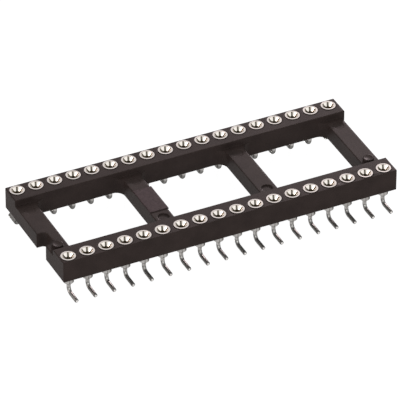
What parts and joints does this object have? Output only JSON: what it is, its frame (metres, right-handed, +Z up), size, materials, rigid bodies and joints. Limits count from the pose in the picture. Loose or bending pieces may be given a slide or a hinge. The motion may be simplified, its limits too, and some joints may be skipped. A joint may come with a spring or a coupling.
{
  "type": "dip socket",
  "caption": "Open-frame dual in-line chip socket: moulded rails tied by low bars, turned sleeves with slit spring clips, and gull-wing solder tails.",
  "frame": {"origin": "centre of the contact pattern, on the board plane under the feet; the middle of the moulding lies 0.1 mm further along +X", "axes": "+X along the rails away from the notch, +Y across to the back row, +Z up out of the board"},
  "size_m": [0.0456, 0.02, 0.0055],
  "materials": {
    "insulator": "moulded black-brown thermoplastic, fine matt grain",
    "sleeve": "turned brass with bright tin plating",
    "clip": "stamped spring alloy with gold plating"
  },
  "bodies": {
    "root": {"insulator": "insulator", "sleeve_01": "sleeve", "sleeve_02": "sleeve", "sleeve_03": "sleeve", "sleeve_04": "sleeve", "sleeve_05": "sleeve", "sleeve_06": "sleeve", "sleeve_07": "sleeve", "sleeve_08": "sleeve", "sleeve_09": "sleeve", "sleeve_10": "sleeve", "sleeve_11": "sleeve", "sleeve_12": "sleeve", "sleeve_13": "sleeve", "sleeve_14": "sleeve", "sleeve_15": "sleeve", "sleeve_16": "sleeve", "sleeve_17": "sleeve", "sleeve_18": "sleeve", "sleeve_19": "sleeve", "sleeve_20": "sleeve", "sleeve_21": "sleeve", "sleeve_22": "sleeve", "sleeve_23": "sleeve", "sleeve_24": "sleeve", "sleeve_25": "sleeve", "sleeve_26": "sleeve", "sleeve_27": "sleeve", "sleeve_28": "sleeve", "sleeve_29": "sleeve", "sleeve_30": "sleeve", "sleeve_31": "sleeve", "sleeve_32": "sleeve", "sleeve_33": "sleeve", "sleeve_34": "sleeve", "sleeve_35": "sleeve", "sleeve_36": "sleeve", "clip_pair_01": "clip", "clip_pair_02": "clip", "clip_pair_03": "clip", "clip_pair_04": "clip", "clip_pair_05": "clip", "clip_pair_06": "clip", "clip_pair_07": "clip", "clip_pair_08": "clip", "clip_pair_09": "clip", "clip_pair_10": "clip", "clip_pair_11": "clip", "clip_pair_12": "clip", "clip_pair_13": "clip", "clip_pair_14": "clip", "clip_pair_15": "clip", "clip_pair_16": "clip", "clip_pair_17": "clip", "clip_pair_18": "clip"}
  },
  "joints": []
}
